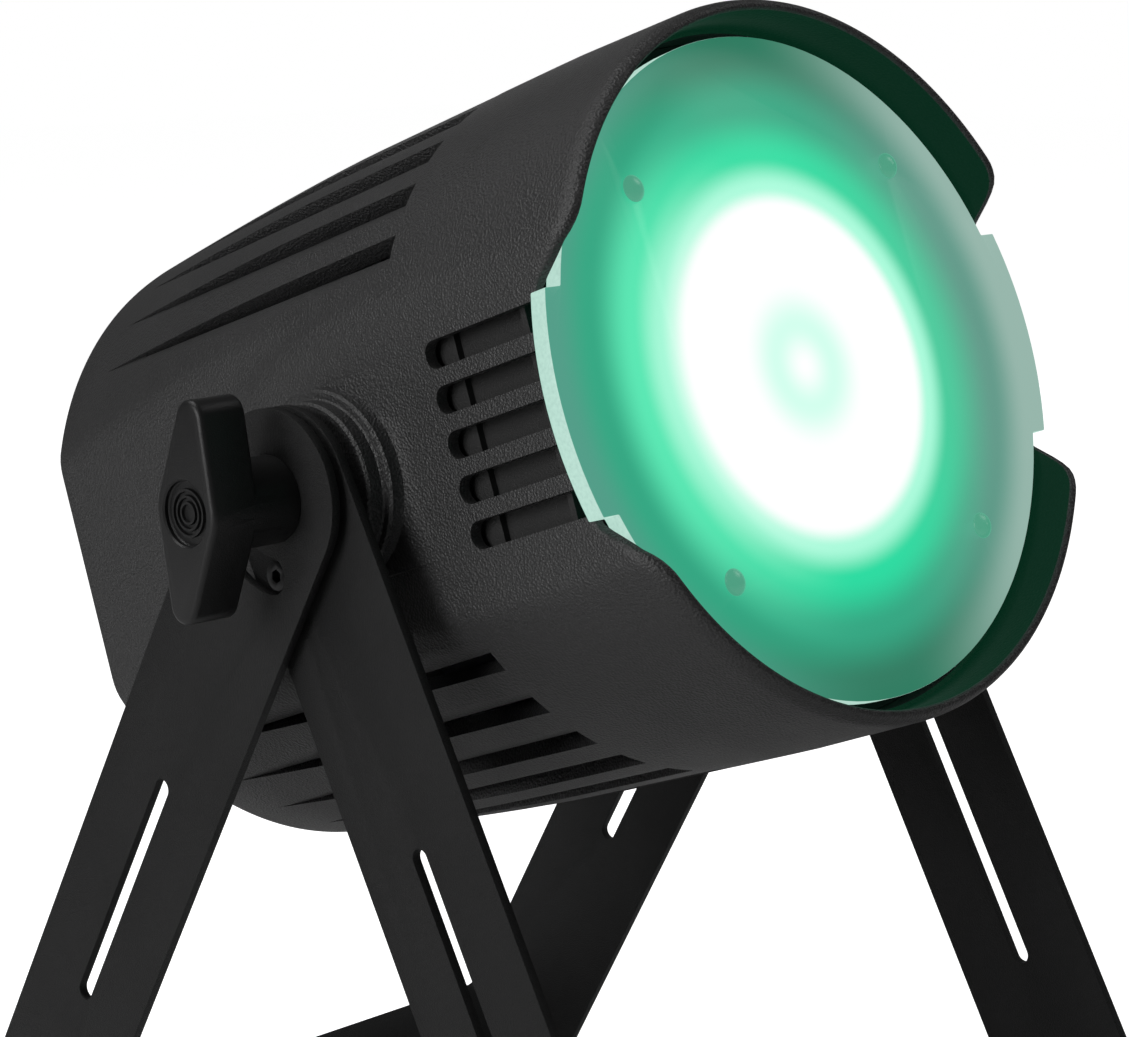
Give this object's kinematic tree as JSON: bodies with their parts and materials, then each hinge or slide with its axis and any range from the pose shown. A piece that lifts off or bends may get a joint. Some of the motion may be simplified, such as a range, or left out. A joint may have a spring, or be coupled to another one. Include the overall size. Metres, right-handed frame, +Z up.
{
  "type": "par can light",
  "caption": "Round stage wash light with a frosted front disc in a wavy hood, tilting on clamp knobs between two strap stands that fold together.",
  "frame": {"origin": "on the floor, under the middle of the whole object's box", "axes": "+Z up, -Y is the front that the light shines to, +X along the tilt axis, to the right seen from the front"},
  "size_m": [0.3052, 0.3372, 0.4109],
  "materials": {
    "stand_steel": "black powder coat, fine speckle",
    "housing_cast": "black leather-grain paint on cast aluminium",
    "screw_black": "black oxide",
    "screw_steel": "zinc plated",
    "brass": "turned",
    "friction_rubber": "matt",
    "spacer_nylon": "matt",
    "knob_plastic": "satin",
    "frosted_disc": "frosted acrylic, lit from behind",
    "disc_screw": "translucent dome",
    "spacer_steel": "turned",
    "plate_black": "matt black",
    "reflector_metal": "bright",
    "holder_plastic": "matt white",
    "led": "phosphor",
    "heat_sink_alu": "extruded",
    "lead_red": "silicone insulation",
    "fan_plastic": "moulded",
    "sheet_metal": "zinc plated sheet",
    "board_green": "solder mask",
    "cover_paint": "matt black powder coat",
    "display_glass": "gloss",
    "button_plastic": "satin",
    "inlet_blue": "moulded",
    "outlet_grey": "moulded",
    "socket_black": "moulded",
    "latch_metal": "plated",
    "fuse_glass": "gloss",
    "eye_steel": "zinc plated"
  },
  "bodies": {
    "stand_front": {"inner_bracket": "stand_steel", "stop_screws": "screw_black", "spacer_washers": "spacer_nylon"},
    "stand_rear": {"outer_bracket": "stand_steel"},
    "head": {"body_shell": "housing_cast", "thread_inserts": "brass", "friction_discs": "friction_rubber", "diffuser": "frosted_disc", "diffuser_posts": "spacer_steel", "diffuser_screws": "disc_screw", "front_plate": "plate_black", "reflector": "reflector_metal", "cob_holder": "holder_plastic", "cob_module": "led", "heat_sink": "heat_sink_alu", "heat_sink_screws": "screw_steel", "lamp_leads": "lead_red", "fan_frame": "fan_plastic", "fan_screws": "screw_steel", "chassis_plate": "sheet_metal", "chassis_screws": "screw_steel", "power_supply": "sheet_metal", "driver_board": "board_green", "control_board": "board_green", "rear_cover": "cover_paint", "rear_cover_screws": "screw_black", "display_window": "display_glass", "power_inlet": "inlet_blue", "power_outlet": "outlet_grey", "dmx_inlet": "socket_black", "dmx_outlet": "socket_black", "connector_screws": "screw_steel", "fuse_holder": "socket_black", "fuse": "fuse_glass", "safety_eye": "eye_steel"},
    "knob_left": {"knob_left": "knob_plastic", "stud_left": "screw_steel"},
    "knob_right": {"knob_right": "knob_plastic", "stud_right": "screw_steel"},
    "fan_rotor": {"fan_rotor": "fan_plastic"},
    "button_menu": {"button_menu": "button_plastic"},
    "button_down": {"button_down": "button_plastic"},
    "button_up": {"button_up": "button_plastic"},
    "button_enter": {"button_enter": "button_plastic"},
    "dmx_latch": {"dmx_latch": "latch_metal"},
    "fuse_cap": {"fuse_cap": "socket_black"}
  },
  "joints": [
    {"name": "head_tilt", "type": "hinge", "parent": "stand_front", "child": "head", "pos_m": [0, -0.00505, 0.2731], "axis": [-1, 0, 0], "range_deg": [-109, 70]},
    {"name": "stand_fold", "type": "hinge", "parent": "stand_front", "child": "stand_rear", "pos_m": [0, -0.00505, 0.2731], "axis": [-1, 0, 0], "range_deg": [0, 58.5]},
    {"name": "knob_left_turn", "type": "hinge", "parent": "head", "child": "knob_left", "pos_m": [0, -0.00505, 0.2731], "axis": [-1, 0, 0], "range_deg": [0, 540]},
    {"name": "knob_right_turn", "type": "hinge", "parent": "head", "child": "knob_right", "pos_m": [0, -0.00505, 0.2731], "axis": [1, 0, 0], "range_deg": [0, 540]},
    {"name": "fan_spin", "type": "hinge", "parent": "head", "child": "fan_rotor", "pos_m": [0, -0.00505, 0.2731], "axis": [0, -0.9444, 0.3289], "continuous": true},
    {"name": "button_menu_press", "type": "slide", "parent": "head", "child": "button_menu", "axis": [0, -0.9444, 0.3289], "range_m": [0, 0.0012], "stiffness_N_per_m": 300, "springref_m": -0.001},
    {"name": "button_down_press", "type": "slide", "parent": "head", "child": "button_down", "axis": [0, -0.9444, 0.3289], "range_m": [0, 0.0012], "stiffness_N_per_m": 300, "springref_m": -0.001},
    {"name": "button_up_press", "type": "slide", "parent": "head", "child": "button_up", "axis": [0, -0.9444, 0.3289], "range_m": [0, 0.0012], "stiffness_N_per_m": 300, "springref_m": -0.001},
    {"name": "button_enter_press", "type": "slide", "parent": "head", "child": "button_enter", "axis": [0, -0.9444, 0.3289], "range_m": [0, 0.0012], "stiffness_N_per_m": 300, "springref_m": -0.001},
    {"name": "dmx_latch_press", "type": "slide", "parent": "head", "child": "dmx_latch", "axis": [0, -0.9444, 0.3289], "range_m": [0, 0.0015], "stiffness_N_per_m": 400, "springref_m": -0.001},
    {"name": "fuse_cap_turn", "type": "hinge", "parent": "head", "child": "fuse_cap", "pos_m": [0.066, 0.11323, 0.20226], "axis": [0, 0.9444, -0.3289], "range_deg": [0, 90]}
  ]
}
